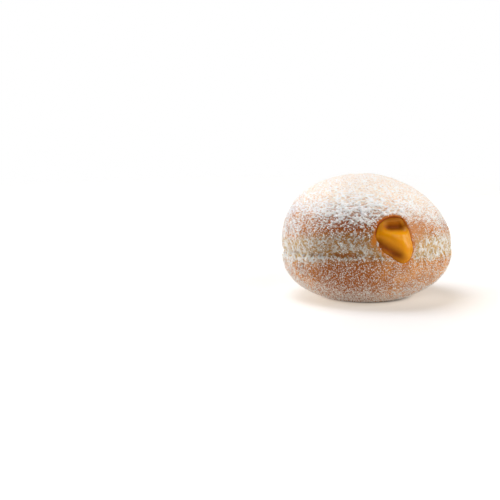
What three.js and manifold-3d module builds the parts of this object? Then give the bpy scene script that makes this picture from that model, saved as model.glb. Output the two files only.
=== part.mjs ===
// Mini filled doughnut: a round fried bun, browned on its crown and belly with a pale collar
// between them, and caramel cream that fills a pocket inside the bun and swells out of the hole
// it was piped in through. Millimetres, +Z up. The bun stands on its pressed-flat foot at Z = 0,
// and the hole faces -Y, turned a little towards +X.

import * as THREE from "three";
import { mergeVertices } from "three/addons/utils/BufferGeometryUtils.js";
import Module from "manifold-3d";

const wasm = await Module();
wasm.setup();

// Bun: heights are measured from the collar. A fullness of 2 is an ellipse, and more is squarer.
const BUN_RADIUS = 28.15;
const CROWN_HEIGHT = 24.8;
const CROWN_FULLNESS = 2.11;
const CROWN_FULLNESS_SWING = 0.28;
const FULL_SIDE = THREE.MathUtils.degToRad(190);
const BELLY_DEPTH = 15.8;
const BELLY_REACH = 17.6;
const BELLY_FULLNESS = 2.14;
const LEAN = THREE.MathUtils.degToRad(-1.6);

// Collar: a broad shallow waist, with a narrow crease that is deepest on one side and rises at the front.
const WAIST_DEPTH = 0.4;
const WAIST_HALF_WIDTH = 3.6;
const CREASE_DEPTH = 0.55;
const CREASE_DEPTH_SWING = 0.35;
const CREASE_SIDE = THREE.MathUtils.degToRad(205);
const CREASE_HALF_WIDTH = 1.1;
const CREASE_LIFT = 2.0;
const CREASE_LIFT_POWER = 3;

// Slow swells that make the bun uneven, as a share of its size.
const SWELLS = [
  { lobes: 2, share: 0.009, turn: 0.6, rise: 1.2 },
  { lobes: 3, share: 0.007, turn: 2.1, rise: -1.6 },
  { lobes: 5, share: 0.004, turn: 4.0, rise: 2.4 },
];

// Piping hole: its way out of the pocket, and the outline that the caramel fills, right and up.
const HOLE_TURN = THREE.MathUtils.degToRad(20.5);
const HOLE_RISE = THREE.MathUtils.degToRad(16);
const HOLE_OUTLINE = [
  [0.8, 6.8],
  [3.1, 5.9],
  [4.3, 3.0],
  [4.8, -0.3],
  [5.4, -3.4],
  [4.5, -6.2],
  [2.4, -7.4],
  [0.3, -6.5],
  [-1.7, -4.9],
  [-3.7, -3.7],
  [-5.4, -1.5],
  [-5.9, 1.3],
  [-4.7, 4.4],
  [-2.4, 6.1],
];
const LIP_RADIUS = 0.6;
const LIP_START = THREE.MathUtils.degToRad(25);
const LIP_STEPS = 4;
const MOUTH_CLEARANCE = 6;

// Filling: the pocket's half sizes along the hole, across it and upwards, and the gap to the dough.
const POCKET_REACH = 13.5;
const POCKET_HALF_WIDTH = 13.2;
const POCKET_HALF_HEIGHT = 10.2;
const POCKET_DROP = 0.6;
const NECK_DEPTH = 4;
const NECK_JOIN = THREE.MathUtils.degToRad(50);
const FILLING_GAP = 0.3;

// Caramel at the mouth: how far it stands proud of the bun or dips, the hollow under the hole's
// upper edge, the ledge over that hollow and the fold that crosses the caramel.
const BULGE = 1.5;
const EDGE_DIP = 0.4;
const EDGE_DIP_POWER = 6;
const DRIP_RISE = 1.0;
const DRIP_DOWN = { from: 1, to: 6 };
const DRIP_RIGHT = { from: -2, to: 4 };
const HOLLOW_DEPTH = 3.2;
const HOLLOW_START = { from: -4.6, to: -0.8 };
const HOLLOW_END = { from: 2.0, to: 5.0 };
const HOLLOW_UP = { from: 1.2, to: 3.9 };
const LEDGE_UP = { from: 3.7, to: 6.2 };
const LEDGE_SHARE = 0.8;
const FOLD_START = new THREE.Vector2(-5.4, -0.9);
const FOLD_END = new THREE.Vector2(2.2, -5.7);
const FOLD_DEPTH = 1.6;
const FOLD_HALF_WIDTH = { over: 1.7, under: 0.8 };
const FOLD_FADE_FROM = 0.6;

// How finely the surfaces are divided.
const BUN_AROUND = 72;
const BUN_ROWS = 38;
const WAIST_CROWDING = 0.25;
const HOLE_AROUND = 52;
const MOUTH_RINGS = 16;
const NECK_RINGS = 5;
const POCKET_RINGS = 9;

// Working distances: vertices this near are one, and a point this far off is clear of the bun.
const WELD_DISTANCE = 1e-4;
const CLEAR_OF_BUN = 2 * BUN_RADIUS;

const bell = (distance, halfWidth) => Math.exp(-((distance / halfWidth) ** 2));
const { smoothstep, lerp } = THREE.MathUtils;

// A closed geometry as a solid that can be joined and cut.
function solidFrom(geometry) {
  const bare = geometry.clone();
  bare.deleteAttribute("normal");
  bare.deleteAttribute("uv");
  const merged = mergeVertices(bare, WELD_DISTANCE);
  return new wasm.Manifold(
    new wasm.Mesh({
      numProp: 3,
      vertProperties: new Float32Array(merged.attributes.position.array),
      triVerts: new Uint32Array(merged.index.array),
    }),
  );
}

// A solid's surface as a three.js geometry.
function geometryFrom(solid) {
  const mesh = solid.getMesh();
  const geometry = new THREE.BufferGeometry();
  geometry.setAttribute("position", new THREE.BufferAttribute(mesh.vertProperties, 3));
  geometry.setIndex(new THREE.BufferAttribute(mesh.triVerts, 1));
  geometry.computeVertexNormals();
  return geometry;
}

// A unit sphere with its poles on Z whose every vertex is moved by place(direction).
function shapedSphere(around, rows, place) {
  const geometry = new THREE.SphereGeometry(1, around, rows).rotateX(Math.PI / 2);
  const vertices = geometry.attributes.position;
  const vertex = new THREE.Vector3();
  for (let i = 0; i < vertices.count; i++) {
    vertex.copy(place(vertex.fromBufferAttribute(vertices, i)));
    vertices.setXYZ(i, vertex.x, vertex.y, vertex.z);
  }
  return geometry;
}

// How far the collar pulls the bun in, at an angle round it and a height from the collar.
function collarPull(around, height) {
  const lift = CREASE_LIFT * ((1 - Math.sin(around)) / 2) ** CREASE_LIFT_POWER;
  const depth = CREASE_DEPTH + CREASE_DEPTH_SWING * Math.cos(around - CREASE_SIDE);
  const waist = WAIST_DEPTH * bell(height, WAIST_HALF_WIDTH);
  return waist + depth * bell(height - lift, CREASE_HALF_WIDTH);
}

// The bun's surface in a direction from the middle of its collar.
function bunPoint(direction) {
  const around = Math.atan2(direction.y, direction.x);
  const evenLatitude = Math.asin(THREE.MathUtils.clamp(direction.z, -1, 1));
  const latitude = evenLatitude - WAIST_CROWDING * Math.sin(2 * evenLatitude);
  const isCrown = latitude >= 0;
  const swing = CROWN_FULLNESS_SWING * Math.cos(around - FULL_SIDE);
  const power = 2 / (isCrown ? CROWN_FULLNESS + swing : BELLY_FULLNESS);
  const reach = isCrown ? CROWN_HEIGHT : -BELLY_REACH;
  const height = reach * Math.abs(Math.sin(latitude)) ** power;
  let radius = BUN_RADIUS * Math.cos(latitude) ** power;
  let swell = 1;
  for (const { lobes, share, turn, rise } of SWELLS) {
    swell += share * Math.cos(latitude) * Math.sin(lobes * around + turn + rise * latitude);
  }
  radius = radius * swell - collarPull(around, height) * Math.cos(latitude);
  return new THREE.Vector3(radius * Math.cos(around), radius * Math.sin(around), height);
}

// The whole bun, leaning a little, with its foot pressed flat.
function bunSolid() {
  const form = shapedSphere(BUN_AROUND, BUN_ROWS, bunPoint);
  form.rotateY(LEAN).translate(0, 0, BELLY_DEPTH);
  const side = 2 * CLEAR_OF_BUN;
  const aboveFoot = new THREE.BoxGeometry(side, side, side).translate(0, 0, side / 2);
  return solidFrom(form).intersect(solidFrom(aboveFoot));
}

const bun = bunSolid();
const bunSkin = new THREE.Mesh(geometryFrom(bun), new THREE.MeshBasicMaterial());

// The hole's own frame: right, up and outwards, from the middle of the pocket.
const pocketCentre = new THREE.Vector3(0, 0, BELLY_DEPTH - POCKET_DROP);
const outwards = new THREE.Vector3(
  Math.sin(HOLE_TURN) * Math.cos(HOLE_RISE),
  -Math.cos(HOLE_TURN) * Math.cos(HOLE_RISE),
  Math.sin(HOLE_RISE),
);
const rightwards = new THREE.Vector3(Math.cos(HOLE_TURN), Math.sin(HOLE_TURN), 0);
const upwards = new THREE.Vector3().crossVectors(outwards, rightwards);

function holePoint(right, up, out) {
  return pocketCentre
    .clone()
    .addScaledVector(rightwards, right)
    .addScaledVector(upwards, up)
    .addScaledVector(outwards, out);
}

// How far out along the hole the bun's skin lies, at a place across the hole.
const ray = new THREE.Raycaster();
function skinReach(right, up) {
  ray.set(holePoint(right, up, CLEAR_OF_BUN), outwards.clone().negate());
  return CLEAR_OF_BUN - ray.intersectObject(bunSkin)[0].distance;
}

// The hole's outline, anticlockwise as seen from outside.
function outlinePoints() {
  const corners = HOLE_OUTLINE.map(([right, up]) => new THREE.Vector3(right, up, 0));
  const curve = new THREE.CatmullRomCurve3(corners, true, "centripetal");
  return curve.getSpacedPoints(HOLE_AROUND).slice(0, HOLE_AROUND).reverse();
}
const outline = outlinePoints();

// The height of the caramel over the bun's skin, at a share of the way from the hole's middle.
function caramelRelief(right, up, share) {
  const dip = EDGE_DIP * share ** EDGE_DIP_POWER;
  const low = smoothstep(-up, DRIP_DOWN.from, DRIP_DOWN.to);
  const drip = DRIP_RISE * low * smoothstep(right, DRIP_RIGHT.from, DRIP_RIGHT.to);
  const ledge = LEDGE_SHARE * smoothstep(up, LEDGE_UP.from, LEDGE_UP.to);
  const sink = smoothstep(up, HOLLOW_UP.from, HOLLOW_UP.to) - ledge;
  const hollowStart = smoothstep(right, HOLLOW_START.from, HOLLOW_START.to);
  const hollowEnd = smoothstep(right, HOLLOW_END.from, HOLLOW_END.to);
  const hollow = HOLLOW_DEPTH * sink * (hollowStart - hollowEnd);
  const along = new THREE.Vector2().subVectors(FOLD_END, FOLD_START);
  const offset = new THREE.Vector2(right, up).sub(FOLD_START);
  const run = offset.dot(along) / along.lengthSq();
  const below = -along.cross(offset) / along.length();
  const fade = 1 - smoothstep(run, FOLD_FADE_FROM, 1);
  const fold = FOLD_DEPTH * fade * bell(below, FOLD_HALF_WIDTH[below < 0 ? "over" : "under"]);
  return BULGE * (1 - share ** 2) + drip * share - dip - hollow - fold;
}

// A ring of points round the hole's axis: place(outline point, its angle) gives each of them.
const ring = (place) => outline.map((edge) => place(edge, Math.atan2(edge.y, edge.x)));

// A point of the outline moved away from the hole's axis by a distance.
const grown = (edge, distance) => edge.clone().setLength(edge.length() + distance);

// Rings of the neck and the pocket, from just below the mouth to the pocket's back.
function innerRings(gap) {
  const rings = [];
  const reach = POCKET_REACH + gap;
  const width = POCKET_HALF_WIDTH + gap;
  const height = POCKET_HALF_HEIGHT + gap;
  const neckTop = skinReach(0, 0) - NECK_DEPTH;
  const pocketFront = reach * Math.cos(NECK_JOIN);
  for (let i = 1; i <= NECK_RINGS; i++) {
    const share = i / (NECK_RINGS + 1);
    rings.push(
      ring((edge) => {
        const { x, y } = grown(edge, gap);
        return holePoint(x, y, lerp(neckTop, pocketFront, share));
      }),
    );
  }
  for (let i = 0; i < POCKET_RINGS; i++) {
    const bend = lerp(NECK_JOIN, Math.PI, i / POCKET_RINGS);
    rings.push(
      ring((edge, angle) =>
        holePoint(
          width * Math.sin(bend) * Math.cos(angle),
          height * Math.sin(bend) * Math.sin(angle),
          reach * Math.cos(bend),
        ),
      ),
    );
  }
  return { rings, back: holePoint(0, 0, -reach) };
}

// A closed skin over a row of rings, with a point at each end.
function ringSkin(front, rings, back) {
  const points = [front, ...rings.flat(), back];
  const faces = [];
  const count = outline.length;
  const at = (row, i) => 1 + row * count + (i % count);
  for (let i = 0; i < count; i++) {
    faces.push(0, at(0, i), at(0, i + 1));
    faces.push(points.length - 1, at(rings.length - 1, i + 1), at(rings.length - 1, i));
    for (let row = 0; row + 1 < rings.length; row++) {
      faces.push(at(row, i), at(row + 1, i + 1), at(row, i + 1));
      faces.push(at(row, i), at(row + 1, i), at(row + 1, i + 1));
    }
  }
  return new THREE.BufferGeometry().setFromPoints(points).setIndex(faces);
}

// The caramel: its swollen face at the mouth, the neck behind it and the pocket.
function fillingSolid() {
  const face = (edge, share) => {
    const [right, up] = [edge.x * share, edge.y * share];
    return holePoint(right, up, skinReach(right, up) + caramelRelief(right, up, share));
  };
  const mouth = [];
  for (let i = 1; i <= MOUTH_RINGS; i++) {
    mouth.push(ring((edge) => face(edge, i / MOUTH_RINGS)));
  }
  const { rings, back } = innerRings(0);
  return solidFrom(ringSkin(face(outline[0], 0), [...mouth, ...rings], back));
}

// The space cut out of the bun: the caramel with a gap round it, and a rounded lip at the mouth.
function pocketSolid() {
  const lipRing = (spread, rise) =>
    ring((edge) => {
      const { x, y } = grown(edge, FILLING_GAP + spread);
      return holePoint(x, y, skinReach(x, y) + rise);
    });
  const lip = [lipRing(LIP_RADIUS, MOUTH_CLEARANCE)];
  for (let i = 0; i <= LIP_STEPS; i++) {
    const bend = lerp(LIP_START, Math.PI / 2, i / LIP_STEPS);
    const sink = LIP_RADIUS * (Math.cos(LIP_START) - Math.cos(bend));
    lip.push(lipRing(LIP_RADIUS * (1 - Math.sin(bend)), -sink));
  }
  const front = holePoint(0, 0, skinReach(0, 0) + 2 * MOUTH_CLEARANCE);
  const { rings, back } = innerRings(FILLING_GAP);
  return solidFrom(ringSkin(front, [...lip, ...rings], back));
}

// A named piece of the doughnut.
function piece(name, solid, look) {
  const mesh = new THREE.Mesh(geometryFrom(solid), new THREE.MeshStandardMaterial(look));
  mesh.name = name;
  return mesh;
}

const dough = piece("dough", bun.subtract(pocketSolid()), {
  color: 0xc9925c,
  roughness: 0.85,
  metalness: 0,
});
const filling = piece("filling", fillingSolid(), {
  color: 0xd08a14,
  roughness: 0.3,
  metalness: 0,
});

// Both pieces stand with the middle of their footprint on the origin.
const doughnut = new THREE.Group();
doughnut.add(dough, filling);
const span = new THREE.Box3().setFromObject(doughnut);
const middle = span.getCenter(new THREE.Vector3());
doughnut.children.forEach((mesh) => mesh.position.set(-middle.x, -middle.y, -span.min.z));

export default doughnut;
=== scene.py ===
"""Looks of a mini filled doughnut: fried skin, sugar dusting, caramel cream, floor, light and camera."""

import math

import bmesh
import bpy
import numpy as np
from bpy.props import FloatProperty, FloatVectorProperty, IntProperty, PointerProperty
from mathutils import Euler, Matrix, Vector, noise
from mathutils.bvhtree import BVHTree


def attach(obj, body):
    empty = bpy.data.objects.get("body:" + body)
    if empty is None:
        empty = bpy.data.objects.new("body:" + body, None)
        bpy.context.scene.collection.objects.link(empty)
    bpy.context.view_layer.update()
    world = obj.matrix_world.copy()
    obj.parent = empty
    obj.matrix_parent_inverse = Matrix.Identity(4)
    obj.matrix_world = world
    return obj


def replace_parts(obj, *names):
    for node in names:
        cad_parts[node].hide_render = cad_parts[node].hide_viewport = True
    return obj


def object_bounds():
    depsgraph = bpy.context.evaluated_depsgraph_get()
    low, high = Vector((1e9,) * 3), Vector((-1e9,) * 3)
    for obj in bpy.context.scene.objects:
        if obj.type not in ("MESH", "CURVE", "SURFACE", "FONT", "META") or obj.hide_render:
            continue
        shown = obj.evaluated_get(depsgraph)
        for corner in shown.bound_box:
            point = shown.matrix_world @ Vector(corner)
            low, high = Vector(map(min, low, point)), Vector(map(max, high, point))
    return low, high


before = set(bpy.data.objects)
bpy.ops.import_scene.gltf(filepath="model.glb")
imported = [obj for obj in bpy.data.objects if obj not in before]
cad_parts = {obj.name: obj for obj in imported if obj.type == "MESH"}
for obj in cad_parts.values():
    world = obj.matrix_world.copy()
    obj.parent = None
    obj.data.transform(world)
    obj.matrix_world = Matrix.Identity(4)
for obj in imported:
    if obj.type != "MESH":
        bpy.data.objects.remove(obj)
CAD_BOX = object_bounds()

bl_info = {
    "name": "Mini Filled Doughnut",
    "version": (1, 0, 0),
    "blender": (4, 5, 0),
    "location": "View3D > Sidebar > Doughnut",
    "description": "Dresses a filled doughnut with skin, sugar and caramel cream",
    "category": "Object",
}

MM = 0.001

# Collar, as it was built: its height and its lean.
COLLAR_HEIGHT = 15.8 * MM
COLLAR_LEAN = math.radians(1.6)

# Piping hole, as it was built: its way out, sideways and upwards, and the middle of the pocket.
HOLE_TURN = math.radians(20.5)
HOLE_RISE = math.radians(16)
POCKET_CENTRE = (0, 0, 15.2 * MM)

# Middle of the bun, from which places on its skin are told, and the skin's mean radius.
SKIN_MIDDLE = 18 * MM
SKIN_RADIUS = 26 * MM

# Way that the bun's painted shade faces, from the front: its crust, collar and sugar darken most there.
FRONT_SHADE_TURN = math.radians(-13)

# Middles of the sugar's drift on the shoulder, of the bare gold spot left of the hole, and of the nearly
# bare skin right of the hole.
DRIFT_MIDDLE = np.array((-1.5, -22.5, 28.5)) * MM
GOLD_MIDDLE = np.array((2.6, -26.9, 22.6)) * MM
BARE_MIDDLE = np.array((15.8, -20.3, 25)) * MM

# Middle of the thinly sugared skin below the hole at its left, right of and over the hole's middle.
BESIDE_HOLE = (-5.5 * MM, -4.5 * MM)

# Fold that crosses the caramel, from its start to its end, right of and over the hole's middle.
FOLD_START = (-5.4 * MM, -0.9 * MM)
FOLD_END = (2.2 * MM, -5.7 * MM)

# Pleats all round the collar.
PLEATS = 46

# Draws of the noise, one for each thing that it shapes, and how far apart they lie.
(
    COLLAR_DRAW, FILM_DRAW, STRING_DRAW, LUMP_DRAW, WRINKLE_DRAW, PLEAT_DRAW, CRUMB_DRAW,
    RING_DRAW, GRAIN_DRAW, STREAK_DRAW, CREASE_DRAW, SPOT_DRAW, RIM_DRAW, GAP_DRAW,
) = range(1, 15)
DRAW_STEP = 17.3

# Vertices nearer than this are one.
WELD = 1e-6

# Grains tried per square metre where only their spacing limits them, and the smallest by the largest.
DENSE = 1.2e7
SMALLEST_GRAIN = 0.5

# Image that the camera frames, and the pixel where the middle of the bun's box lies.
IMAGE_SIZE = 500
BUN_PIXEL = (366.2, 234.6)
SENSOR_WIDTH = 36.0

# Softboxes, by the side that they stand on: place, size and colour. All face one point.
SOFTBOXES = {
    "top": ((-0.16, 0.07, 0.52), 0.36, (1, 1, 1)),
    "left": ((-0.45, 0.1, 0.1), 0.19, (0.98, 0.99, 1)),
    "right": ((0.45, 0.02, 0.13), 0.25, (1, 0.97, 0.92)),
    "front": ((0.3, -0.33, 0.3), 0.35, (1, 0.95, 0.86)),
}
LIT_POINT = Vector((0, 0, 0.02))

# Round floor, and where it begins and ends to fade into the white round it.
FLOOR_RADIUS = 0.6
FLOOR_SIDES = 96
FLOOR_FADE = (0.12, 0.4)

# The floor's own light: where it sets in round the foot, and how it grows to the right, to the left and far
# off, from one place to another and from one strength to another.
FOOT_EDGE = (12.5 * MM, 16.5 * MM)
GROWTH_RIGHT = (18 * MM, 42 * MM, 1.0, 1.26)
GROWTH_LEFT = (-22 * MM, -2 * MM, 0.2, 0.0)
GROWTH_FAR = (45 * MM, 120 * MM, 0.0, 0.5)

# Where the floor's shade is deepest, ahead of the bun and right of it, and how far each shade reaches. Then
# the size of a shade's core, and the share of light that is left there.
SHADES = (((9 * MM, -32 * MM, 0), 30 * MM), ((30 * MM, 12 * MM, 0), 24 * MM))
SHADE_CORE = 4 * MM
SHADE_LIGHT = 0.85


def srgb(red, green, blue):
    """A colour given as bytes, as linear light."""
    shares = (channel / 255 for channel in (red, green, blue))
    return tuple(s / 12.92 if s <= 0.04045 else ((s + 0.055) / 1.055) ** 2.4 for s in shares)


def length_property(name, description, default):
    """A size in metres that a user may change."""
    return FloatProperty(
        name=name, description=description, default=default, min=0, precision=5, unit="LENGTH"
    )


def colour_property(name, description, default):
    """A colour that a user may change."""
    return FloatVectorProperty(
        name=name, description=description, default=default, min=0, max=1, subtype="COLOR"
    )


def share_property(name, description, default):
    """A share from 0 to 1 that a user may change."""
    return FloatProperty(
        name=name, description=description, default=default, min=0, max=1, subtype="FACTOR"
    )


class DoughSettings(bpy.types.PropertyGroup):
    """Sizes and colours of the fried dough."""

    grid: length_property("Skin grid", "Spacing of the skin's points", 0.41 * MM)
    lump_depth: length_property("Lump depth", "Height of the slow lumps", 0.16 * MM)
    wrinkle_depth: length_property("Wrinkle depth", "Depth of the crown's wrinkles", 0.2 * MM)
    pleat_depth: length_property("Pleat depth", "Depth of the short pleats at the collar", 0.22 * MM)
    crease_depth: length_property("Crease depth", "Depth of the line along the collar's crease", 0.45 * MM)
    collar_half_width: length_property("Collar half width", "Half the pale collar's width", 3.6 * MM)
    collar_lift: length_property("Collar lift", "How far the collar rises at the front", 4.0 * MM)
    crust: colour_property("Crust", "Browned dough", srgb(222, 155, 82))
    # Deep crust: random darker patches, and painted shade on the bun's front.
    patchy_and_shaded_crust: colour_property("Deep crust", "Darkest patches of the crust", srgb(158, 84, 28))
    collar: colour_property("Collar", "Pale dough of the collar", srgb(197, 163, 102))
    # Deep collar: painted shade on the collar at the bun's front.
    shaded_collar: colour_property("Deep collar", "Darkest dough of the collar", srgb(154, 112, 62))
    gold: colour_property("Gold", "Bare dough round the hole", srgb(200, 118, 22))
    # Edge: painted shade on the hole's upper left edge, between the sugar's strings and in the collar's
    # crease.
    edge: colour_property("Edge", "Dark edge of the hole", srgb(150, 62, 18))


class SugarSettings(bpy.types.PropertyGroup):
    """Sizes, counts and colours of the sugar dusting."""

    colour: colour_property("Sugar", "Sugar grains and powder", srgb(247, 250, 255))
    # Thin: the powder's colour in painted shade, on the collar and in the hollows between the sugar's
    # strings.
    thin: colour_property("Thin", "Dimmed powder, on the collar and in hollows", srgb(200, 205, 208))
    veil: colour_property("Veil", "Finest powder, through which the crust glows", srgb(253, 243, 230))
    dust_density: FloatProperty(name="Dust", description="Dust grains per square metre", default=9e6, min=0)
    crystal_spacing: length_property("Crystal spacing", "Least distance between crystals", 0.55 * MM)
    clump_spacing: length_property("Clump spacing", "Least distance between clumps", 0.32 * MM)
    dust_size: length_property("Dust size", "Largest dust grain", 0.3 * MM)
    crystal_size: length_property("Crystal size", "Largest crystal", 0.54 * MM)
    clump_size: length_property("Clump size", "Largest clump", 0.5 * MM)
    heap_height: length_property("Heap height", "Height of the caked sugar on the shoulder", 0.55 * MM)
    seed: IntProperty(name="Seed", description="Draw of the scatter", default=7, min=0)


class CaramelSettings(bpy.types.PropertyGroup):
    """Sizes, colours and gloss of the caramel cream."""

    reach: length_property("Reach", "How far the cream's edge swells into the dough", 0.5 * MM)
    bulge: length_property("Bulge", "How far the cream stands out at the right", 0.4 * MM)
    cream: colour_property("Cream", "Caramel cream", (0.80, 0.325, 0.0015))
    # Deep cream: random darker swirls, and painted shade in the fold and under the hole's top.
    swirled_and_shaded_cream: colour_property("Deep cream", "Caramel cream in its folds", (0.26, 0.052, 0.0003))
    roughness: share_property("Roughness", "Roughness of the cream's surface", 0.28)


class StageSettings(bpy.types.PropertyGroup):
    """Camera, light and floor."""

    lens: FloatProperty(name="Lens", description="Focal length in millimetres", default=100, min=1)
    distance: length_property("Distance", "From the camera to the middle of the bun", 464 * MM)
    elevation: FloatProperty(
        name="Elevation",
        description="Height of the camera over the horizon",
        default=math.radians(8.5),
        subtype="ANGLE",
    )
    floor: colour_property("Floor", "Pale floor", (0.54, 0.56, 0.62))
    shine: colour_property("Floor shine", "Brightness of the floor in its shadows", (0.44, 0.385, 0.31))
    bounce: colour_property("Bounce", "Floor as the food sees it", (0.43, 0.365, 0.29))
    glow: colour_property("Floor glow", "Light that the floor throws on the food", (0.36, 0.31, 0.255))
    top_power: FloatProperty(name="Top", description="Power of the top softbox", default=2.42, min=0)
    left_power: FloatProperty(name="Left", description="Power of the left softbox", default=1.24, min=0)
    right_power: FloatProperty(name="Right", description="Power of the right softbox", default=0.8, min=0)
    front_power: FloatProperty(name="Front", description="Power of the front softbox", default=1.25, min=0)
    fill: FloatProperty(name="Fill", description="Strength of the light from all round", default=0.05, min=0)


def smooth(value, low, high):
    """0 below low, 1 above high and an even curve between them."""
    share = np.clip((value - low) / (high - low), 0, 1)
    return share * share * (3 - 2 * share)


def bell(distance, half_width):
    """1 at no distance, falling to nothing past the half width."""
    return np.exp(-((distance / half_width) ** 2))


def noise_at(points, size, draw, octaves=1):
    """Even noise from about -1 to 1 at each point, with features of a size."""
    places = (points / size + DRAW_STEP * draw).tolist()
    return np.array([noise.fractal(place, 1.0, 2.0, octaves) for place in places])


def merged_copy(node):
    """A CAD node's mesh with its loose triangles joined."""
    shell = bmesh.new()
    shell.from_mesh(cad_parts[node].data)
    bmesh.ops.remove_doubles(shell, verts=shell.verts, dist=WELD)
    mesh = bpy.data.meshes.new(node + "_form")
    shell.to_mesh(mesh)
    shell.free()
    return mesh


def work_object(mesh):
    """A linked object that modifiers can be put on."""
    made = bpy.data.objects.new(mesh.name, mesh)
    bpy.context.scene.collection.objects.link(made)
    return made


def evaluated_mesh(made):
    """The plain mesh that the object's modifiers give. The object itself is removed."""
    depsgraph = bpy.context.evaluated_depsgraph_get()
    mesh = bpy.data.meshes.new_from_object(made.evaluated_get(depsgraph))
    bpy.data.objects.remove(made)
    return mesh


def modified(mesh, kind, **settings):
    """The plain mesh that one modifier makes of a mesh."""
    made = work_object(mesh)
    modifier = made.modifiers.new(kind.lower(), kind)
    for name, value in settings.items():
        setattr(modifier, name, value)
    return evaluated_mesh(made)


def points_of(mesh):
    """A mesh's points as rows of three numbers."""
    flat = np.empty(len(mesh.vertices) * 3)
    mesh.vertices.foreach_get("co", flat)
    return flat.reshape(-1, 3)


def normals_of(mesh):
    """A mesh's normals at its points."""
    flat = np.empty(len(mesh.vertices) * 3, np.float32)
    mesh.vertex_normals.foreach_get("vector", flat)
    return flat.reshape(-1, 3).astype(float)


def distance_to(mesh, points):
    """How far each point is from a mesh's surface."""
    tree = BVHTree.FromPolygons(
        [vertex.co for vertex in mesh.vertices], [face.vertices for face in mesh.polygons]
    )
    return np.array([tree.find_nearest(point)[3] for point in points])


def move_points(mesh, points):
    """Puts a mesh's points at new places."""
    mesh.vertices.foreach_set("co", points.ravel())
    mesh.update()


def paint(mesh, name, values):
    """Keeps one value for each point of a mesh, for its material and its sugar."""
    layer = mesh.attributes.new(name, "FLOAT", "POINT")
    layer.data.foreach_set("value", np.clip(values, 0, 1).astype(np.float32))


def paint_places(mesh, name, places):
    """Keeps one place for each point of a mesh, for its material."""
    layer = mesh.attributes.new(name, "FLOAT_VECTOR", "POINT")
    layer.data.foreach_set("vector", places.ravel().astype(np.float32))


def add_piece(name, mesh, material):
    """A finished piece of the doughnut, riding on its one body."""
    mesh.name = name
    mesh.materials.clear()
    mesh.materials.append(material)
    mesh.polygons.foreach_set("use_smooth", np.ones(len(mesh.polygons), bool))
    piece = bpy.data.objects.new(name, mesh)
    bpy.context.scene.collection.objects.link(piece)
    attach(piece, "root")
    return piece


def fill_inputs(tree, node, inputs):
    """Links or fills in a node's inputs."""
    for name, value in inputs.items():
        if isinstance(value, bpy.types.NodeSocket):
            tree.links.new(value, node.inputs[name])
        else:
            node.inputs[name].default_value = value


def add_node(tree, kind, inputs=None, **settings):
    """A node with its settings made and its inputs linked or filled in."""
    made = tree.nodes.new(kind)
    for name, value in settings.items():
        setattr(made, name, value)
    fill_inputs(tree, made, inputs or {})
    return made


def maths(tree, operation, first, second=0.0):
    """The output of a Math node."""
    return add_node(tree, "ShaderNodeMath", {0: first, 1: second}, operation=operation).outputs[0]


def times(tree, first, second):
    """The product of two values."""
    return maths(tree, "MULTIPLY", first, second)


def remap(tree, value, low, high, new_low=0.0, new_high=1.0):
    """A value taken along an even curve from one range to another."""
    inputs = {"Value": value, "From Min": low, "From Max": high, "To Min": new_low, "To Max": new_high}
    made = add_node(tree, "ShaderNodeMapRange", inputs, interpolation_type="SMOOTHSTEP")
    return made.outputs["Result"]


def mix_colours(tree, share, first, second):
    """A mix of two colours, of which a share is the second."""
    first, second = (
        colour if isinstance(colour, bpy.types.NodeSocket) else (*colour, 1.0)
        for colour in (first, second)
    )
    made = add_node(tree, "ShaderNodeMix", {0: share, 6: first, 7: second}, data_type="RGBA")
    return made.outputs[2]


def painted(tree, name, output="Fac"):
    """What the mesh keeps at its points."""
    return add_node(tree, "ShaderNodeAttribute", attribute_name=name).outputs[output]


def noise_texture(tree, size, detail=2.0, roughness=0.5, place=None):
    """Noise with features of a size in metres, on given places or the piece's own coordinates."""
    place = place or add_node(tree, "ShaderNodeTexCoord").outputs["Object"]
    inputs = {"Vector": place, "Scale": 1 / size, "Detail": detail, "Roughness": roughness}
    return add_node(tree, "ShaderNodeTexNoise", inputs).outputs["Fac"]


def new_material(name):
    """A material with a Principled shader, and its tree and that shader."""
    material = bpy.data.materials.new(name)
    material.use_nodes = True
    tree = material.node_tree
    return material, tree, tree.nodes["Principled BSDF"]


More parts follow.
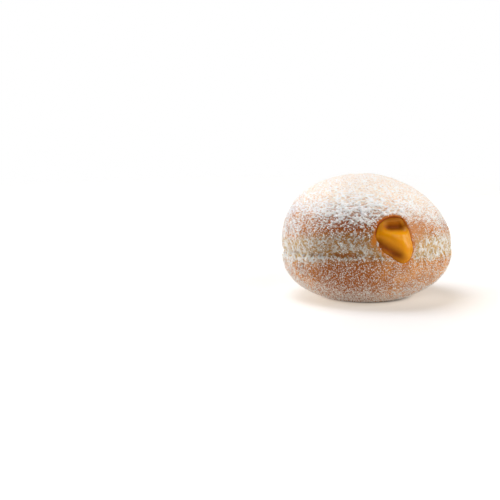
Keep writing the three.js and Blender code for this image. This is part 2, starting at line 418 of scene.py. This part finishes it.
def crust_material(look, sugar):
    """Browned dough with a pale collar, bare gold round the hole, a veil of sugar and a film of it, and
    painted shade.
    """
    material, tree, shader = new_material("sugared_crust")
    baked, on_collar, on_gold = (painted(tree, name) for name in ("baked", "collar", "gold"))
    patches = remap(tree, noise_texture(tree, 4.5 * MM, detail=4.0, roughness=0.6), 0.35, 0.68, 0.15, 0.75)
    # Painted shade: the crust and the collar darken on the bun's front, besides the crust's random darker
    # patches.
    crust = mix_colours(tree, maths(tree, "MAXIMUM", patches, baked), look.crust, look.patchy_and_shaded_crust)
    collar = mix_colours(tree, baked, look.collar, look.shaded_collar)
    skin = mix_colours(tree, on_collar, crust, collar)
    skin = mix_colours(tree, on_gold, skin, look.gold)
    # Painted shade on the hole's upper left edge, between the sugar's strings and in the crease.
    skin = mix_colours(tree, painted(tree, "edge"), skin, look.edge)

    lie = painted(tree, "lie", "Vector")
    pinholes = noise_texture(tree, 0.55 * MM, roughness=0.6, place=lie)
    veil = times(tree, painted(tree, "veil"), remap(tree, pinholes, 0.3, 0.55, 0.5, 1.0))
    skin = mix_colours(tree, veil, skin, sugar.veil)

    speckle = noise_texture(tree, 0.6 * MM, detail=3.0, roughness=0.6, place=lie)
    drift = noise_texture(tree, 1.7 * MM, detail=3.0, roughness=0.6, place=lie)
    powder = maths(tree, "ADD", times(tree, speckle, 0.78), times(tree, drift, 0.22))
    bar = maths(tree, "SUBTRACT", 0.75, times(tree, painted(tree, "film"), 0.5))
    soft = maths(tree, "ADD", 0.08, times(tree, on_collar, 0.02))
    film = remap(tree, maths(tree, "SUBTRACT", powder, bar), times(tree, soft, -1.0), soft)
    cover = maths(tree, "SUBTRACT", 0.95, times(tree, on_gold, 0.4))
    # Painted shade: the powder dims towards the thin colour on the collar, most on its shaded front, and in
    # the hollows between strings.
    dim = times(tree, on_collar, remap(tree, baked, 0.0, 1.0, 0.3, 1.0))
    dim = maths(tree, "MAXIMUM", dim, painted(tree, "pits"))
    white = mix_colours(tree, dim, sugar.colour, sugar.thin)

    grain = noise_texture(tree, 0.3 * MM, roughness=0.6)
    height = maths(tree, "ADD", times(tree, film, 0.7), times(tree, grain, 0.8))
    bump = add_node(tree, "ShaderNodeBump", {"Strength": 0.7, "Distance": 0.16 * MM, "Height": height})
    fill_inputs(tree, shader, {
        "Base Color": mix_colours(tree, times(tree, film, cover), skin, white),
        "Roughness": maths(tree, "SUBTRACT", 0.8, times(tree, on_gold, 0.1)),
        "Normal": bump.outputs["Normal"],
        "Specular IOR Level": 0.3,
        "Subsurface Weight": 0.12,
        "Subsurface Radius": (1.0, 0.5, 0.3),
        "Subsurface Scale": 1.2 * MM,
    })
    return material


def caramel_material(look):
    """Smooth caramel cream with random darker swirls, and painted shade, darker and duller, in its fold and
    under the hole's top.
    """
    material, tree, shader = new_material("caramel_cream")
    swirl = remap(tree, noise_texture(tree, 5.0 * MM), 0.4, 0.7, 0.0, 0.2)
    # Random darker swirls, and painted shade in the fold and in the hollow.
    shade_and_swirl = maths(tree, "MAXIMUM", painted(tree, "deep"), swirl)
    ripple = noise_texture(tree, 1.6 * MM)
    bump = add_node(tree, "ShaderNodeBump", {"Strength": 0.06, "Distance": 0.3 * MM, "Height": ripple})
    fill_inputs(tree, shader, {
        "Base Color": mix_colours(tree, shade_and_swirl, look.cream, look.swirled_and_shaded_cream),
        "Roughness": maths(tree, "ADD", look.roughness, times(tree, shade_and_swirl, 0.4)),
        "Normal": bump.outputs["Normal"],
        "Specular IOR Level": 0.36,
        "Specular Tint": (1.0, 0.95, 0.55, 1.0),
        "Subsurface Weight": 0.25,
        "Subsurface Radius": (1.0, 0.45, 0.08),
        "Subsurface Scale": 1.5 * MM,
    })
    return material


def sugar_material(sugar):
    """White sugar, a little see-through and uneven."""
    material, tree, shader = new_material("sugar")
    shade = noise_texture(tree, 0.8 * MM, detail=1.0)
    dim = tuple(channel * 0.92 for channel in sugar.colour)
    fill_inputs(tree, shader, {
        "Base Color": mix_colours(tree, shade, sugar.colour, dim),
        "Roughness": 0.55,
        "Specular IOR Level": 0.4,
        "Subsurface Weight": 0.2,
        "Subsurface Radius": (1.0, 0.9, 0.8),
        "Subsurface Scale": 0.5 * MM,
    })
    return material


def along_skin(points):
    """Each point's place on the skin, drawn in round the crown so that noise there runs sideways."""
    reach = np.hypot(points[:, 0], points[:, 1])
    rise = np.arctan2(points[:, 2] - SKIN_MIDDLE, reach)
    width = SKIN_RADIUS * (1 - 0.5 * smooth(rise, 0.1, 0.7))
    sideways = points[:, :2] * (width / reach.clip(0.5 * SKIN_RADIUS))[:, None]
    return np.column_stack((sideways, SKIN_RADIUS * rise))


def front_share(points):
    """1 on the side that faces the camera, falling to 0 at the sides."""
    return np.clip(-points[:, 1] / np.hypot(points[:, 0], points[:, 1]).clip(MM), 0, 1)


def front_shade_share(points):
    """How much painted shade darkens the bun: most on its front, a little left of the middle."""
    facing = points[:, :2] @ (math.sin(FRONT_SHADE_TURN), -math.cos(FRONT_SHADE_TURN))
    return 0.9 * smooth(facing / np.hypot(points[:, 0], points[:, 1]).clip(MM), 0.78, 1.0)


def over_collar(points):
    """Height of each point over the collar's leaning level."""
    return points[:, 2] - COLLAR_HEIGHT - points[:, 0] * math.sin(COLLAR_LEAN)


def collar_share(points, look):
    """1 on the pale collar, which rises and widens towards the front."""
    front = front_share(points) ** 2
    height = over_collar(points) - MM - look.collar_lift * front
    height += 1.1 * MM * noise_at(points, 6 * MM, COLLAR_DRAW, 3)
    half_width = look.collar_half_width * (1 + 0.35 * front)
    return 1 - smooth(np.abs(height) / half_width, 0.5, 1.35)


def crease_height(points):
    """Height of each point over the collar's crease, which rises towards the front."""
    front = (1 - np.sin(np.arctan2(points[:, 1], points[:, 0]))) / 2
    return over_collar(points) - 2 * MM * front**3


def over_crease(points):
    """Height of each point over the crease as it wanders up and down."""
    return crease_height(points) + 0.9 * MM * noise_at(points, 4 * MM, CREASE_DRAW, 2)


def crease_share(points):
    """1 where the crease's line shows, 0 in its gaps."""
    return smooth(noise_at(points, 2.5 * MM, GAP_DRAW, 2), -0.25, 0.25)


def crease_shade_line(points):
    """1 along the broken line of painted shade in the collar's crease, ahead and left of the middle."""
    line = bell(over_crease(points), 0.5 * MM) * crease_share(points)
    return line * front_share(points) * bell(points[:, 0] + 8 * MM, 9 * MM)


def streak_share(points):
    """1 on the soft streaks of sugar in the collar's pleats."""
    arc = np.arctan2(points[:, 1], points[:, 0]) * np.hypot(points[:, 0], points[:, 1])
    height = crease_height(points)
    slanted = np.stack((arc + 0.5 * height, 0.4 * height, 0 * arc), 1)
    streaks = smooth(noise_at(slanted, 1.1 * MM, STREAK_DRAW, 2), -0.1, 0.35)
    return bell(height - 1 * MM, 4.5 * MM) * streaks


def string_share(lie, normals):
    """1 on the crooked strings that the sugar cakes into, which are thicker further up."""
    thick = 0.1 * smooth(normals[:, 2], 0.4, 0.6)
    return 1 - smooth(np.abs(noise_at(lie, 1.5 * MM, STRING_DRAW, 3)) - thick, 0.05, 0.24)


def heap_zone(points, normals):
    """1 where sugar cakes most: on the crown's shoulder, and thickest ahead."""
    ahead = bell(np.linalg.norm(points - DRIFT_MIDDLE, axis=1), 12 * MM)
    return bell(normals[:, 2] - 0.5, 0.3) * (0.2 + 0.8 * ahead)


def hole_axes():
    """The piping hole's own directions: right, up and outwards."""
    outwards = Vector((math.sin(HOLE_TURN), -math.cos(HOLE_TURN), math.tan(HOLE_RISE))).normalized()
    rightwards = Vector((math.cos(HOLE_TURN), math.sin(HOLE_TURN), 0))
    return np.array((rightwards, outwards.cross(rightwards), outwards))


def hole_places(points):
    """Each point's place by the piping hole: right, up and outwards."""
    return (points - np.array(POCKET_CENTRE)) @ hole_axes().T


def from_hole_axis(points):
    """The direction straight away from the piping hole's axis at each point."""
    across = hole_places(points)[:, :2]
    return across / np.linalg.norm(across, axis=1).clip(WELD)[:, None] @ hole_axes()[:2]


def beside_hole(points):
    """1 in the middle of the thinly sugared skin below the hole, at its left."""
    right, up, out = hole_places(points).T
    away = np.hypot(right - BESIDE_HOLE[0], up - BESIDE_HOLE[1])
    return bell(away, 3.5 * MM) * smooth(out, 0, 5 * MM)


def bare_share(points):
    """1 in the middle of the nearly bare skin, right of the hole."""
    return bell(np.linalg.norm(points - BARE_MIDDLE, axis=1), 4.4 * MM)


def gold_spot(points):
    """1 on the bare gold spot left of the hole."""
    ragged = 1.1 * MM * noise_at(points, 0.9 * MM, SPOT_DRAW, 2)
    away = np.linalg.norm((points - GOLD_MIDDLE) * (1.7, 1, 0.65), axis=1)
    return bell(away + ragged, 1.5 * MM)


def rim_gap(points):
    """How far the bare rim reaches from the caramel: furthest over the hole and left of it."""
    right, up, _ = hole_places(points).T
    span = np.hypot(right, up)
    gap = 0.2 * MM + 0.65 * MM * smooth((up - 0.6 * right) / span, -0.2, 0.8)
    return gap + 0.15 * MM * smooth(right / span, 0.3, 0.9)


def clear_of_hole(points, distance):
    """0 on the hole's rim and on the bare gold spot, where no sugar lies."""
    ragged = distance + 0.3 * MM * noise_at(points, 0.9 * MM, RIM_DRAW, 2)
    gap = rim_gap(points)
    return smooth(ragged, gap, gap + 0.5 * MM) * (1 - gold_spot(points))


def gold_share(points, distance):
    """How golden the skin is: round the hole, on the spot left of it and on the bare skin right of it."""
    ragged = distance + 0.5 * MM * noise_at(points, 1.5 * MM, RING_DRAW, 2)
    ring = 0.85 * (1 - smooth(ragged, 0.5 * MM, 2.3 * MM))
    return np.maximum(ring, gold_spot(points)) + 0.9 * bare_share(points)


def edge_shade_share(points, distance, zone, strings):
    """How far painted shade darkens the skin: most on the hole's upper left edge, less between strings and in
    the crease.
    """
    right, up, _ = hole_places(points).T
    upper_left = smooth((up - right) / np.hypot(up, right), 0.1, 1.0)
    edge = upper_left * (1 - smooth(distance, 0.7 * MM, 1.1 * MM))
    edge = np.maximum(edge, 0.4 * zone * (1 - strings))
    return np.maximum(edge, 0.5 * crease_shade_line(points))


def veil_load(points, normals):
    """How closely fine powder veils the skin: most on the crown, and a little at the right."""
    low_right = smooth(points[:, 0], 4 * MM, 14 * MM) * smooth(-normals[:, 2], 0, 0.3)
    thin = np.maximum(0.16 * bare_share(points), 0.1 * low_right)
    return np.maximum(0.86 * smooth(normals[:, 2], 0.4, 0.85), thin)


def film_load(points, normals, zone, strings, streaks, collar):
    """How closely coarser powder covers the skin."""
    leftwards, up = -points[:, 0], normals[:, 2]
    load = 0.28 + 0.3 * smooth(up, 0.1, 0.7) - 0.13 * smooth(up, 0.5, 0.9)
    load += 0.2 * smooth(-up, 0.45, 0.85)
    load += 0.04 * smooth(leftwards, 6 * MM, 20 * MM) * smooth(-up, 0.15, 0.55)
    left = smooth(leftwards, 14 * MM, 27 * MM) * (1 - smooth(up, 0.3, 0.6))
    load += left * (0.21 - 0.17 * collar) - 0.15 * bare_share(points)
    gaps = 0.5 * (1 - strings) * (1 - 0.7 * smooth(up, 0.42, 0.62))
    load += zone * (0.3 * strings - gaps) + 0.26 * streaks + 0.15 * collar
    # Less powder along the crease's line of painted shade, and less beside the hole.
    load -= 0.5 * crease_shade_line(points) + 0.13 * beside_hole(points)
    return load + 0.06 * noise_at(points, 5 * MM, FILM_DRAW, 3)


def grain_load(points, normals):
    """How many loose grains lie: least on the top and right of the hole."""
    load = 0.5 - 0.4 * bare_share(points) + 0.12 * noise_at(points, 4 * MM, GRAIN_DRAW, 3)
    load *= 1 - smooth(normals[:, 2], 0.35, 0.75)
    return load * smooth(points[:, 2], 0.4 * MM, 1.2 * MM)


def skin_relief(points, look, heaps):
    """Height of the skin's lumps, wrinkles, crease and pleats at each point."""
    lumps = look.lump_depth * noise_at(points, 5 * MM, LUMP_DRAW, 3)
    creased = 1 - np.abs(noise_at(points * (1, 1, 1.6), 2.4 * MM, WRINKLE_DRAW, 3))
    wrinkles = look.wrinkle_depth * (creased - 0.7) * (0.15 + heaps)
    height = over_crease(points)
    around = np.arctan2(points[:, 1], points[:, 0]) + 0.06 * noise_at(points, 3 * MM, PLEAT_DRAW)
    pleats = look.pleat_depth * np.sin(PLEATS * around) * bell(height + 1.2 * MM, 2.6 * MM)
    crease = look.crease_depth * bell(height, 0.5 * MM) * (0.3 + 0.7 * crease_share(points))
    return lumps + wrinkles + pleats - crease


class DOUGHNUT_OT_make_dough(bpy.types.Operator):
    """Makes the fried dough's skin over the bun's solid"""

    bl_idname = "doughnut.make_dough"
    bl_label = "Make Dough"

    def execute(self, context):
        look, sugar = context.scene.doughnut_dough, context.scene.doughnut_sugar
        mesh = modified(merged_copy("dough"), "REMESH", mode="VOXEL", voxel_size=look.grid)
        mesh = modified(mesh, "SMOOTH", factor=0.5, iterations=6)
        points, normals = points_of(mesh), normals_of(mesh)
        distance = distance_to(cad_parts["filling"].data, points)
        clear = clear_of_hole(points, distance)
        lie = along_skin(points)
        zone, strings = clear * heap_zone(points, normals), string_share(lie, normals)
        heaps, streaks = zone * strings, clear * streak_share(points)
        collar = collar_share(points, look)
        grains = clear * grain_load(points, normals) * (1 - 0.65 * collar)
        grains *= smooth(distance - rim_gap(points), 0.2 * MM, 0.9 * MM)

        rise = skin_relief(points, look, heaps) * smooth(distance, 0.5 * MM, 2 * MM)
        rise += sugar.heap_height * heaps + 0.12 * MM * streaks
        rise += 0.14 * MM * (grains + zone) * noise_at(points, 0.95 * MM, CRUMB_DRAW, 2)
        rise *= smooth(points[:, 2], 0, 2 * MM)
        move_points(mesh, points + normals * rise[:, None])

        paint_places(mesh, "lie", lie)
        shares = {
            "collar": collar,
            # Painted shade on the bun's front.
            "baked": front_shade_share(points),
            "gold": gold_share(points, distance),
            # Painted shade on the hole's edge, between the sugar's strings and in the crease.
            "edge": edge_shade_share(points, distance, zone, strings),
            "veil": clear * veil_load(points, normals),
            "film": clear * film_load(points, normals, zone, strings, streaks, collar),
            # Painted shade in the hollows between the sugar's strings.
            "pits": 0.25 * zone * smooth(0.9 - strings, 0.1, 0.8),
            "grains": grains,
            "clumps": smooth(heaps, 0.2, 0.9),
        }
        for name, values in shares.items():
            paint(mesh, name, values)
        material = crust_material(look, sugar)
        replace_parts(add_piece("fried_dough", mesh, material), "dough")
        return {"FINISHED"}


def caramel_shade(points):
    """How much painted shade darkens the caramel in its fold and in the hollow at its top, from 0 to 1."""
    across = hole_places(points)[:, :2]
    right, up = across.T
    run = np.subtract(FOLD_END, FOLD_START)
    length = np.linalg.norm(run)
    share = (across - FOLD_START) @ run / length**2
    over = (across - FOLD_START) @ (-run[1], run[0]) / length + 0.4 * MM
    fold = 1 - smooth(over, 0.1 * MM, 2.4 * MM) - 0.5 * smooth(-over, 0.2 * MM, 1.5 * MM)
    fold *= 0.97 - 0.97 * smooth(share, 0.72, 1.45)
    hollow = smooth(up, 1.0 * MM, 4.2 * MM) - 0.3 * smooth(up, 4.0 * MM, 5.2 * MM)
    hollow *= 0.45 + 0.55 * smooth(right, -4.8 * MM, -1.4 * MM) - 0.35 * smooth(right, 2 * MM, 3.8 * MM)
    return np.maximum(fold, hollow)


class DOUGHNUT_OT_make_filling(bpy.types.Operator):
    """Makes the caramel cream, swelling just into the dough"""

    bl_idname = "doughnut.make_filling"
    bl_label = "Make Filling"

    def execute(self, context):
        look = context.scene.doughnut_caramel
        mesh = modified(merged_copy("filling"), "SUBSURF", levels=2, render_levels=2)
        points = points_of(mesh)
        # Painted shade in the caramel's fold and under the hole's top.
        paint(mesh, "deep", caramel_shade(points))
        gap = distance_to(bpy.data.objects["fried_dough"].data, points)
        push = look.reach * (1 - smooth(gap, 0.5 * MM, 1.0 * MM))
        right, _, _ = hole_places(points).T
        bulge = look.bulge * smooth(right, 0, 3 * MM) * (1 - smooth(gap, 0.5 * MM, 1.8 * MM))
        push_out = from_hole_axis(points) * push[:, None] + hole_axes()[2] * bulge[:, None]
        move_points(mesh, points + push_out)
        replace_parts(add_piece("caramel_cream", mesh, caramel_material(look)), "filling")
        return {"FINISHED"}


def sugar_tree(name, grain, load):
    """A tree that scatters one kind of grain over a skin, as thickly as the skin's load says."""
    tree = bpy.data.node_groups.new(name, "GeometryNodeTree")
    sockets = {
        "Skin": "Geometry",
        "Density": "Float",
        "Spacing": "Float",
        "Smallest": "Float",
        "Largest": "Float",
        "Seed": "Int",
        "Material": "Material",
    }
    for label, kind in sockets.items():
        tree.interface.new_socket(label, in_out="INPUT", socket_type="NodeSocket" + kind)
    tree.interface.new_socket("Grains", in_out="OUTPUT", socket_type="NodeSocketGeometry")
    given = add_node(tree, "NodeGroupInput").outputs

    thick = add_node(tree, "GeometryNodeInputNamedAttribute", {"Name": load}, data_type="FLOAT")
    places = add_node(
        tree,
        "GeometryNodeDistributePointsOnFaces",
        {
            "Mesh": given["Skin"],
            "Distance Min": given["Spacing"],
            "Density Max": given["Density"],
            "Density Factor": thick.outputs["Attribute"],
            "Seed": given["Seed"],
        },
        distribute_method="POISSON",
    )
    turn = add_node(
        tree,
        "FunctionNodeRandomValue",
        {"Min": (0, 0, 0), "Max": (math.tau,) * 3, "Seed": given["Seed"]},
        data_type="FLOAT_VECTOR",
    )
    low, high = (
        add_node(tree, "ShaderNodeCombineXYZ", {i: given[label] for i in range(3)})
        for label in ("Smallest", "Largest")
    )
    size = add_node(
        tree,
        "FunctionNodeRandomValue",
        {"Min": low.outputs[0], "Max": high.outputs[0], "Seed": given["Seed"]},
        data_type="FLOAT_VECTOR",
    )
    grains = add_node(
        tree,
        "GeometryNodeInstanceOnPoints",
        {
            "Points": places.outputs["Points"],
            "Instance": grain(tree),
            "Rotation": turn.outputs["Value"],
            "Scale": size.outputs["Value"],
        },
    )
    real = add_node(tree, "GeometryNodeRealizeInstances", {"Geometry": grains.outputs["Instances"]})
    finished = add_node(
        tree, "GeometryNodeSetMaterial", {"Geometry": real.outputs["Geometry"], "Material": given["Material"]}
    )
    add_node(tree, "NodeGroupOutput", {"Grains": finished.outputs["Geometry"]})
    return tree


def dust_grain(tree):
    """A splinter with four sides."""
    inputs = {"Vertices": 3, "Radius Top": 0.0, "Radius Bottom": 0.55, "Depth": 0.8}
    return add_node(tree, "GeometryNodeMeshCone", inputs).outputs["Mesh"]


def crystal_grain(tree):
    """A crystal with eight sides."""
    inputs = {"Segments": 4, "Rings": 2, "Radius": 0.6}
    return add_node(tree, "GeometryNodeMeshUVSphere", inputs).outputs["Mesh"]


def clump_grain(tree):
    """A lump pushed out of round."""
    ball = add_node(tree, "GeometryNodeMeshIcoSphere", {"Radius": 0.5, "Subdivisions": 1})
    lumpy = add_node(tree, "ShaderNodeTexNoise", {"Scale": 1.5, "Detail": 1.0})
    shift = add_node(
        tree, "ShaderNodeVectorMath", {0: lumpy.outputs["Color"], 1: (0.5, 0.5, 0.5)}, operation="SUBTRACT"
    )
    inputs = {"Geometry": ball.outputs["Mesh"], "Offset": shift.outputs[0]}
    return add_node(tree, "GeometryNodeSetPosition", inputs).outputs["Geometry"]


def scatter(name, tree, values):
    """Adds one kind of sugar grain, scattered over the dough by a tree, as a plain mesh."""
    made = work_object(bpy.data.objects["fried_dough"].data.copy())
    modifier = made.modifiers.new(name, "NODES")
    modifier.node_group = tree
    for socket in tree.interface.items_tree:
        if socket.name in values:
            modifier[socket.identifier] = values[socket.name]
    add_piece(name, evaluated_mesh(made), values["Material"])


class DOUGHNUT_OT_scatter_sugar(bpy.types.Operator):
    """Scatters dust, crystals and clumps of sugar over the dough"""

    bl_idname = "doughnut.scatter_sugar"
    bl_label = "Scatter Sugar"

    def execute(self, context):
        sugar = context.scene.doughnut_sugar
        material = sugar_material(sugar)
        kinds = (
            ("sugar_dust", dust_grain, "grains", sugar.dust_density, 0.0, sugar.dust_size),
            ("sugar_crystals", crystal_grain, "grains", DENSE, sugar.crystal_spacing, sugar.crystal_size),
            ("sugar_clumps", clump_grain, "clumps", DENSE, sugar.clump_spacing, sugar.clump_size),
        )
        for i, (name, grain, load, density, spacing, largest) in enumerate(kinds):
            scatter(name, sugar_tree(name, grain, load), {
                "Density": density,
                "Spacing": spacing,
                "Smallest": SMALLEST_GRAIN * largest,
                "Largest": largest,
                "Seed": sugar.seed + i,
                "Material": material,
            })
        return {"FINISHED"}


def aim(place, target, pixel, lens):
    """Turn of an upright camera at a place that shows the target at a pixel of the image."""
    focal = IMAGE_SIZE * lens / SENSOR_WIDTH
    across = (pixel[0] - IMAGE_SIZE / 2) / focal
    up = (IMAGE_SIZE / 2 - pixel[1]) / focal
    way = (target - place).normalized()
    stretch = math.sqrt(1 + across**2 + up**2)
    pitch = math.asin(way.z * stretch / math.sqrt(1 + up**2)) - math.atan(up)
    ahead = math.cos(pitch) - up * math.sin(pitch)
    yaw = math.atan2(way.x, way.y) - math.atan2(across, ahead)
    return Euler((math.pi / 2 + pitch, 0, -yaw))


def add_camera(stage):
    """The camera, which shows the middle of the bun at its pixel."""
    middle = (CAD_BOX[0] + CAD_BOX[1]) / 2
    lens = bpy.data.cameras.new("camera")
    lens.lens = stage.lens
    lens.sensor_width = SENSOR_WIDTH
    lens.clip_start = 10 * MM
    camera = bpy.data.objects.new("camera", lens)
    back = Vector((0, -math.cos(stage.elevation), math.sin(stage.elevation)))
    camera.location = middle + back * stage.distance
    camera.rotation_euler = aim(camera.location, middle, BUN_PIXEL, stage.lens)
    bpy.context.scene.collection.objects.link(camera)
    bpy.context.scene.camera = camera


def add_softbox(name, place, size, power, colour):
    """A square soft light that faces the doughnut."""
    lamp = bpy.data.lights.new(name, "AREA")
    lamp.size = size
    lamp.energy = power
    lamp.color = colour
    softbox = bpy.data.objects.new(name, lamp)
    softbox.location = place
    softbox.rotation_euler = (LIT_POINT - Vector(place)).to_track_quat("-Z", "Y").to_euler()
    softbox.visible_camera = False
    bpy.context.scene.collection.objects.link(softbox)


def add_world(stage):
    """White behind everything, and an even dim light from all round."""
    world = bpy.data.worlds.new("studio")
    world.use_nodes = True
    tree = world.node_tree
    tree.nodes.clear()
    seen = add_node(tree, "ShaderNodeBackground", {"Color": (1, 1, 1, 1), "Strength": 1.0})
    felt = add_node(tree, "ShaderNodeBackground", {"Color": (1, 0.98, 0.95, 1), "Strength": stage.fill})
    path = add_node(tree, "ShaderNodeLightPath")
    both = add_node(
        tree,
        "ShaderNodeMixShader",
        {0: path.outputs["Is Camera Ray"], 1: felt.outputs[0], 2: seen.outputs[0]},
    )
    add_node(tree, "ShaderNodeOutputWorld", {"Surface": both.outputs[0]})
    bpy.context.scene.world = world


def floor_material(stage):
    """A pale floor with its own light, dimmed into painted shade round the foot, ahead of the bun and right
    of it, that fades out into the white round it.
    """
    material, tree, shader = new_material("pale_floor")
    seen = add_node(tree, "ShaderNodeLightPath").outputs["Is Camera Ray"]
    place = add_node(tree, "ShaderNodeTexCoord").outputs["Object"]
    far = add_node(tree, "ShaderNodeVectorMath", {0: place}, operation="LENGTH").outputs["Value"]
    right = add_node(tree, "ShaderNodeSeparateXYZ", {0: place}).outputs["X"]
    sides = maths(tree, "ADD", remap(tree, right, *GROWTH_RIGHT), remap(tree, right, *GROWTH_LEFT))
    # Painted shade: the floor's own light fades out round the foot and dims ahead of the bun and right of it.
    near = times(tree, remap(tree, far, *FOOT_EDGE), sides)
    for middle, reach in SHADES:
        off = add_node(tree, "ShaderNodeVectorMath", {0: place, 1: middle}, operation="DISTANCE")
        near = times(tree, near, remap(tree, off.outputs["Value"], SHADE_CORE, reach, SHADE_LIGHT, 1.0))
    fill_inputs(tree, shader, {
        "Base Color": mix_colours(tree, seen, stage.bounce, stage.floor),
        "Roughness": 0.9,
        "Specular IOR Level": 0.1,
        "Alpha": remap(tree, far, *FLOOR_FADE, 1.0, 0.0),
        "Emission Color": mix_colours(tree, seen, stage.glow, stage.shine),
        "Emission Strength": maths(tree, "ADD", near, remap(tree, far, *GROWTH_FAR)),
    })
    return material


def add_floor(stage):
    """A round floor under the doughnut."""
    disc = bmesh.new()
    bmesh.ops.create_circle(disc, cap_ends=True, segments=FLOOR_SIDES, radius=FLOOR_RADIUS)
    mesh = bpy.data.meshes.new("floor")
    disc.to_mesh(mesh)
    disc.free()
    mesh.materials.append(floor_material(stage))
    floor = bpy.data.objects.new("floor", mesh)
    bpy.context.scene.collection.objects.link(floor)


class DOUGHNUT_OT_set_stage(bpy.types.Operator):
    """Sets the floor, the soft light and the camera"""

    bl_idname = "doughnut.set_stage"
    bl_label = "Set Stage"

    def execute(self, context):
        stage = context.scene.doughnut_stage
        context.scene.view_settings.view_transform = "Standard"
        add_camera(stage)
        add_world(stage)
        add_floor(stage)
        for side, (place, size, colour) in SOFTBOXES.items():
            add_softbox(side + "_softbox", place, size, getattr(stage, side + "_power"), colour)
        return {"FINISHED"}


class DOUGHNUT_PT_panel(bpy.types.Panel):
    """Lists the doughnut's settings and makers"""

    bl_idname = "DOUGHNUT_PT_panel"
    bl_label = "Filled Doughnut"
    bl_space_type = "VIEW_3D"
    bl_region_type = "UI"
    bl_category = "Doughnut"

    def draw(self, context):
        for maker, settings in MAKERS:
            box = self.layout.box()
            group = getattr(context.scene, settings)
            for name in group.__annotations__:
                box.prop(group, name)
            box.operator(maker.bl_idname)


MAKERS = (
    (DOUGHNUT_OT_make_dough, "doughnut_dough"),
    (DOUGHNUT_OT_make_filling, "doughnut_caramel"),
    (DOUGHNUT_OT_scatter_sugar, "doughnut_sugar"),
    (DOUGHNUT_OT_set_stage, "doughnut_stage"),
)
SETTINGS = {
    "doughnut_dough": DoughSettings,
    "doughnut_caramel": CaramelSettings,
    "doughnut_sugar": SugarSettings,
    "doughnut_stage": StageSettings,
}
CLASSES = (*SETTINGS.values(), *(maker for maker, _ in MAKERS), DOUGHNUT_PT_panel)


def register():
    """Registers the classes and hangs the settings on the scene."""
    for cls in CLASSES:
        bpy.utils.register_class(cls)
    for name, group in SETTINGS.items():
        setattr(bpy.types.Scene, name, PointerProperty(type=group))


def unregister():
    """Takes the settings and the classes away again."""
    for name in SETTINGS:
        delattr(bpy.types.Scene, name)
    for cls in reversed(CLASSES):
        bpy.utils.unregister_class(cls)


def main():
    """Makes the doughnut and its stage."""
    register()
    bpy.ops.doughnut.make_dough()
    bpy.ops.doughnut.make_filling()
    bpy.ops.doughnut.scatter_sugar()
    bpy.ops.doughnut.set_stage()


if __name__ == "__main__":
    main()
